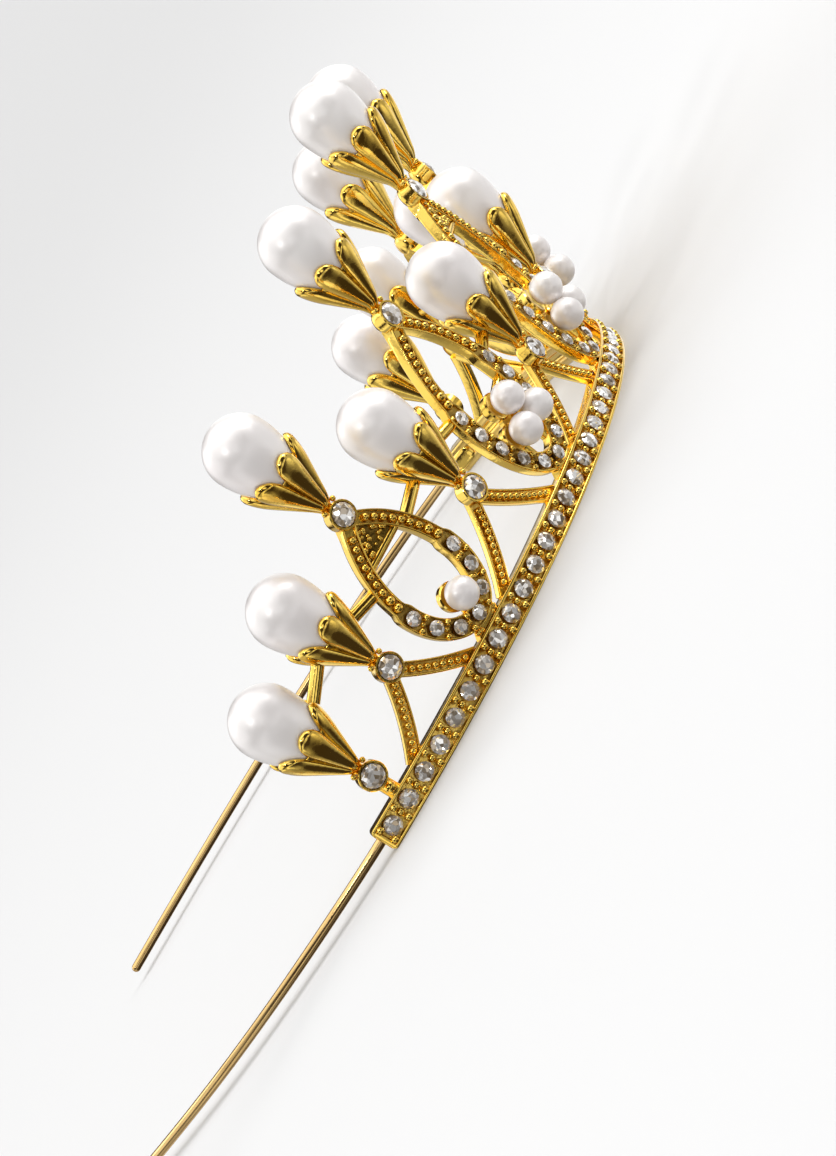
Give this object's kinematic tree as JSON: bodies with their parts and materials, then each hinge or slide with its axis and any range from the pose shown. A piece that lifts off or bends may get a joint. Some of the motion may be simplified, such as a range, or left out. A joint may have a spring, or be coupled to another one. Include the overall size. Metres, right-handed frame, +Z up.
{
  "type": "tiara",
  "caption": "Mini crown headband: a gold cast tiara of pearl-tipped spikes and pierced pointed frames set with clear stones, on two plain spring-wire arms.",
  "frame": {"origin": "middle of the bounding box's footprint, on the flat underside of the band at z = 0", "axes": "+X towards the right-hand wire arm, +Y from the front of the crown to the wire tips, +Z up along the spikes"},
  "size_m": [0.1494, 0.1548, 0.0581],
  "materials": {
    "cast_metal": "mirror-polished yellow gold plate over a zinc alloy casting, satin on its underside and back",
    "spring_wire": "gold-plated spring steel wire",
    "pearl": "imitation pearl, glossy white lacquer",
    "clear_stone": "clear cut glass with foiled back"
  },
  "bodies": {
    "root": {"crown_frame": "cast_metal", "wire_arm_left": "spring_wire", "wire_arm_right": "spring_wire", "drop_pearl_1": "pearl", "drop_pearl_2": "pearl", "drop_pearl_3": "pearl", "drop_pearl_4": "pearl", "drop_pearl_5": "pearl", "drop_pearl_6": "pearl", "drop_pearl_7": "pearl", "drop_pearl_8": "pearl", "drop_pearl_9": "pearl", "drop_pearl_10": "pearl", "drop_pearl_11": "pearl", "drop_pearl_12": "pearl", "drop_pearl_13": "pearl", "bezel_stone_1": "clear_stone", "bezel_stone_2": "clear_stone", "bezel_stone_3": "clear_stone", "bezel_stone_4": "clear_stone", "bezel_stone_5": "clear_stone", "bezel_stone_6": "clear_stone", "bezel_stone_7": "clear_stone", "bezel_stone_8": "clear_stone", "bezel_stone_9": "clear_stone", "bezel_stone_10": "clear_stone", "bezel_stone_11": "clear_stone", "bezel_stone_12": "clear_stone", "bezel_stone_13": "clear_stone", "small_pearl_1": "pearl", "small_pearl_2": "pearl", "small_pearl_3": "pearl", "small_pearl_4": "pearl", "small_pearl_5": "pearl", "small_pearl_6": "pearl", "small_pearl_7": "pearl", "small_pearl_8": "pearl", "small_pearl_9": "pearl", "small_pearl_10": "pearl", "small_pearl_11": "pearl", "band_stones": "clear_stone", "frame_stones": "clear_stone"}
  },
  "joints": []
}
